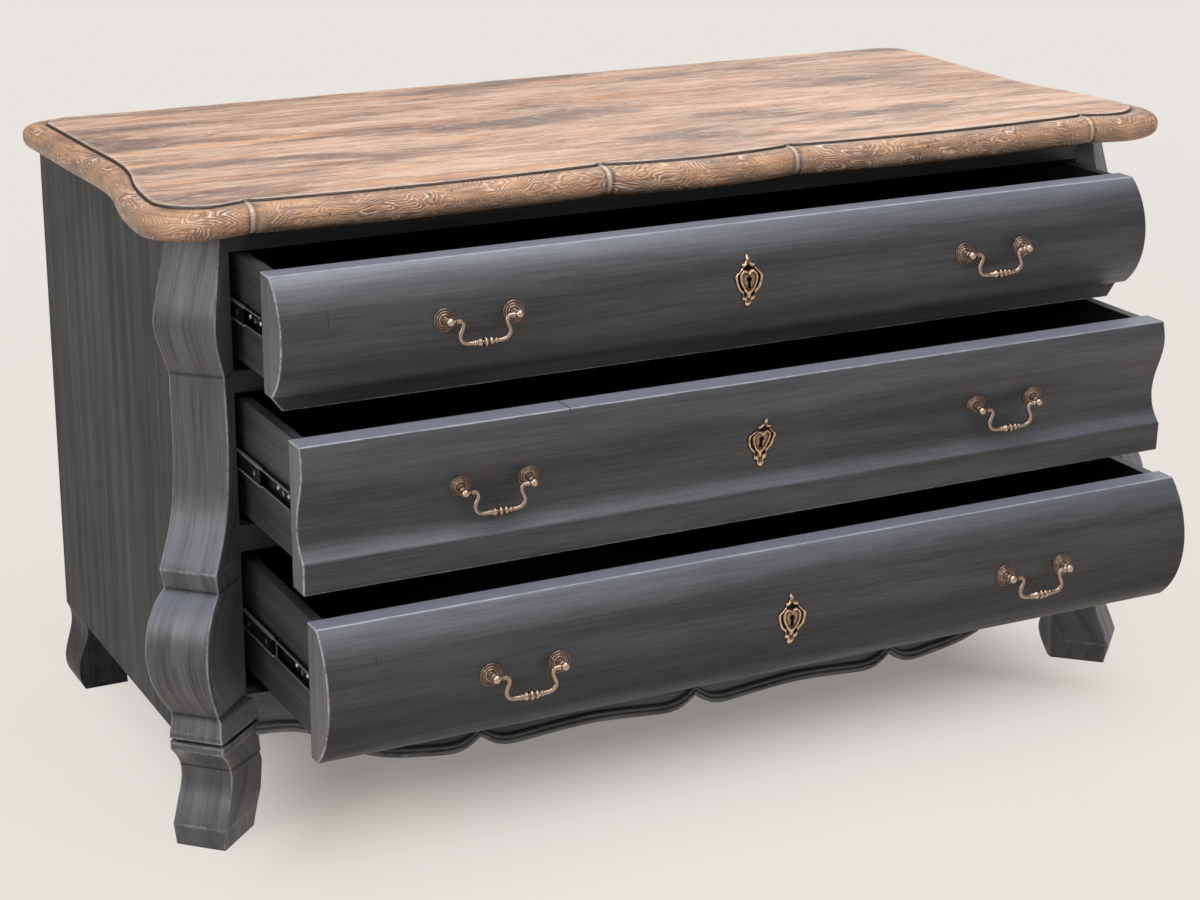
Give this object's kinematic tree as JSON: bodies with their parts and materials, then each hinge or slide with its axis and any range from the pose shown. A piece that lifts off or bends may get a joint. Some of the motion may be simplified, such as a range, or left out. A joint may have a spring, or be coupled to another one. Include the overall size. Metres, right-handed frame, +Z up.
{
  "type": "chest of drawers",
  "caption": "Bombe chest of drawers with swelling fronts, canted posts, bracket feet, thick shaped wooden top, bail handles and telescopic slides.",
  "frame": {"origin": "middle of the underside of the whole box, on the floor, with the drawers pulled out as in the rest pose", "axes": "+X to the right along the width, seen from the front; +Y to the back; +Z up"},
  "size_m": [1.5086, 0.9166, 0.82],
  "materials": {
    "grey_paint": "charcoal grey brushed paint, satin",
    "top_wood": "brown weathered wood, waxed",
    "dark_inside": "black stain",
    "slide_black": "black coated steel",
    "screw_steel": "zinc plated",
    "bronze": "antique bronze, rubbed bright on the high points"
  },
  "bodies": {
    "case": {"top_board": "top_wood", "left_side_panel": "grey_paint", "right_side_panel": "grey_paint", "back_panel": "grey_paint", "left_front_post": "grey_paint", "right_front_post": "grey_paint", "left_rear_leg": "grey_paint", "right_rear_leg": "grey_paint", "top_front_rail": "grey_paint", "upper_drawer_rail": "grey_paint", "lower_drawer_rail": "grey_paint", "apron": "grey_paint", "apron_bead": "grey_paint", "bottom_panel": "dark_inside", "top_rear_rail": "grey_paint", "bottom_rear_rail": "grey_paint", "slide_cleats": "dark_inside", "case_slides": "slide_black", "case_slide_screws": "screw_steel"},
    "drawer_1": {"drawer_1_front": "grey_paint", "drawer_1_left_side": "grey_paint", "drawer_1_right_side": "grey_paint", "drawer_1_back": "grey_paint", "drawer_1_bottom": "dark_inside", "drawer_1_handle_rosettes": "bronze", "drawer_1_handle_posts": "bronze", "drawer_1_escutcheon": "bronze", "drawer_1_slides": "slide_black", "drawer_1_fasteners": "screw_steel"},
    "slide_middle_1": {"middle_slides_1": "slide_black"},
    "bail_1_left": {"bail_1_left": "bronze"},
    "bail_1_right": {"bail_1_right": "bronze"},
    "drawer_2": {"drawer_2_front": "grey_paint", "drawer_2_left_side": "grey_paint", "drawer_2_right_side": "grey_paint", "drawer_2_back": "grey_paint", "drawer_2_bottom": "dark_inside", "drawer_2_handle_rosettes": "bronze", "drawer_2_handle_posts": "bronze", "drawer_2_escutcheon": "bronze", "drawer_2_slides": "slide_black", "drawer_2_fasteners": "screw_steel"},
    "slide_middle_2": {"middle_slides_2": "slide_black"},
    "bail_2_left": {"bail_2_left": "bronze"},
    "bail_2_right": {"bail_2_right": "bronze"},
    "drawer_3": {"drawer_3_front": "grey_paint", "drawer_3_left_side": "grey_paint", "drawer_3_right_side": "grey_paint", "drawer_3_back": "grey_paint", "drawer_3_bottom": "dark_inside", "drawer_3_handle_rosettes": "bronze", "drawer_3_handle_posts": "bronze", "drawer_3_escutcheon": "bronze", "drawer_3_slides": "slide_black", "drawer_3_fasteners": "screw_steel"},
    "slide_middle_3": {"middle_slides_3": "slide_black"},
    "bail_3_left": {"bail_3_left": "bronze"},
    "bail_3_right": {"bail_3_right": "bronze"}
  },
  "joints": [
    {"name": "drawer_1_slide", "type": "slide", "parent": "case", "child": "drawer_1", "axis": [0, -1, 0], "range_m": [-0.101, 0.339]},
    {"name": "slide_middle_1_slide", "type": "slide", "parent": "case", "child": "slide_middle_1", "axis": [0, -1, 0], "range_m": [-0.0505, 0.1695]},
    {"name": "bail_1_left_swing", "type": "hinge", "parent": "drawer_1", "child": "bail_1_left", "pos_m": [-0.369, -0.33108, 0.68283], "axis": [-1, 0, 0], "range_deg": [-12, 95]},
    {"name": "bail_1_right_swing", "type": "hinge", "parent": "drawer_1", "child": "bail_1_right", "pos_m": [0.369, -0.33108, 0.68283], "axis": [-1, 0, 0], "range_deg": [-12, 95]},
    {"name": "drawer_2_slide", "type": "slide", "parent": "case", "child": "drawer_2", "axis": [0, -1, 0], "range_m": [-0.179, 0.261]},
    {"name": "slide_middle_2_slide", "type": "slide", "parent": "case", "child": "slide_middle_2", "axis": [0, -1, 0], "range_m": [-0.0895, 0.1305]},
    {"name": "bail_2_left_swing", "type": "hinge", "parent": "drawer_2", "child": "bail_2_left", "pos_m": [-0.369, -0.3677, 0.48169], "axis": [-1, 0, 0], "range_deg": [-12, 95]},
    {"name": "bail_2_right_swing", "type": "hinge", "parent": "drawer_2", "child": "bail_2_right", "pos_m": [0.369, -0.3677, 0.48169], "axis": [-1, 0, 0], "range_deg": [-12, 95]},
    {"name": "drawer_3_slide", "type": "slide", "parent": "case", "child": "drawer_3", "axis": [0, -1, 0], "range_m": [-0.223, 0.217]},
    {"name": "slide_middle_3_slide", "type": "slide", "parent": "case", "child": "slide_middle_3", "axis": [0, -1, 0], "range_m": [-0.1115, 0.1085]},
    {"name": "bail_3_left_swing", "type": "hinge", "parent": "drawer_3", "child": "bail_3_left", "pos_m": [-0.369, -0.4523, 0.2761], "axis": [-1, 0, 0], "range_deg": [-12, 95]},
    {"name": "bail_3_right_swing", "type": "hinge", "parent": "drawer_3", "child": "bail_3_right", "pos_m": [0.369, -0.4523, 0.2761], "axis": [-1, 0, 0], "range_deg": [-12, 95]}
  ],
  "couplings": [
    {"joint": "slide_middle_1_slide", "follows": "drawer_1_slide", "ratio": 0.5},
    {"joint": "slide_middle_2_slide", "follows": "drawer_2_slide", "ratio": 0.5},
    {"joint": "slide_middle_3_slide", "follows": "drawer_3_slide", "ratio": 0.5}
  ]
}
